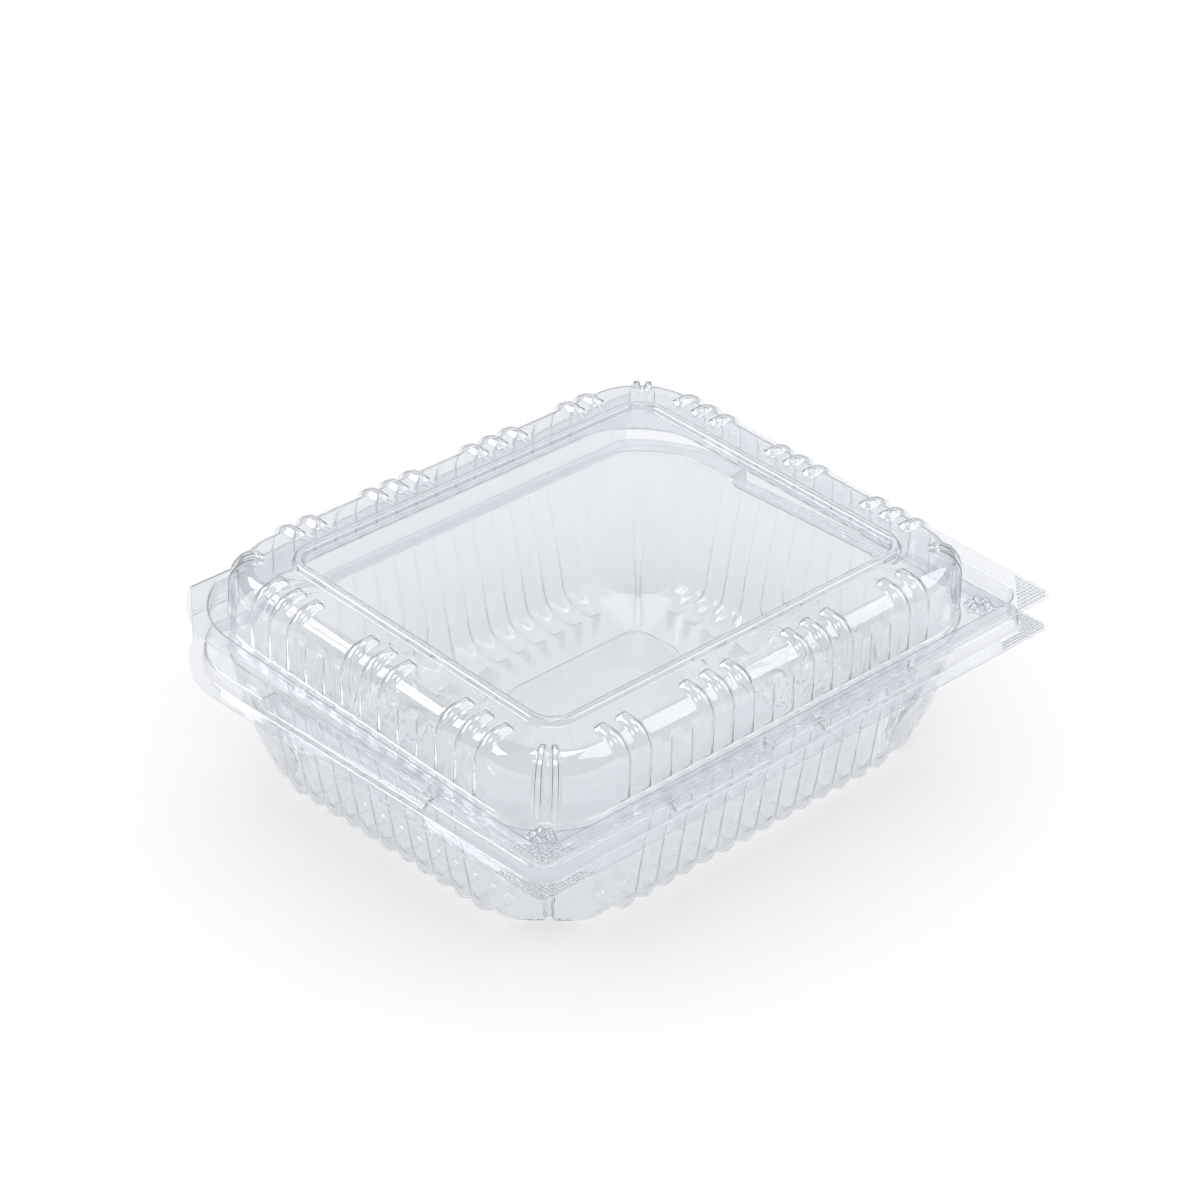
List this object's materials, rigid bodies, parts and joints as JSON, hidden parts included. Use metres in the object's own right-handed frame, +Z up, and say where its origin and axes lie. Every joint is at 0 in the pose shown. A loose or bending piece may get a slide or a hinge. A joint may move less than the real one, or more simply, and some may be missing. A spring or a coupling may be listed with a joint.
{
  "type": "plastic clamshell pack",
  "caption": "Clear hinged clamshell food pack: a fluted domed lid folds over a fluted tray on a folded strap hinge and snaps shut with lugs along its rim.",
  "frame": {"origin": "middle of the closed pack's footprint, on the surface it stands on", "axes": "+X along the opening side, +Y from the opening side to the hinge, +Z up"},
  "size_m": [0.198, 0.1618, 0.0703],
  "materials": {
    "clear_sheet": "clear thermoformed PET sheet, glossy"
  },
  "bodies": {
    "tray": {"base_tray": "clear_sheet"},
    "lid": {"lid": "clear_sheet"}
  },
  "joints": [
    {"name": "lid_hinge", "type": "hinge", "parent": "tray", "child": "lid", "pos_m": [0, 0.08128, 0.04682], "axis": [-1, 0, 0], "range_deg": [0, 180]}
  ]
}
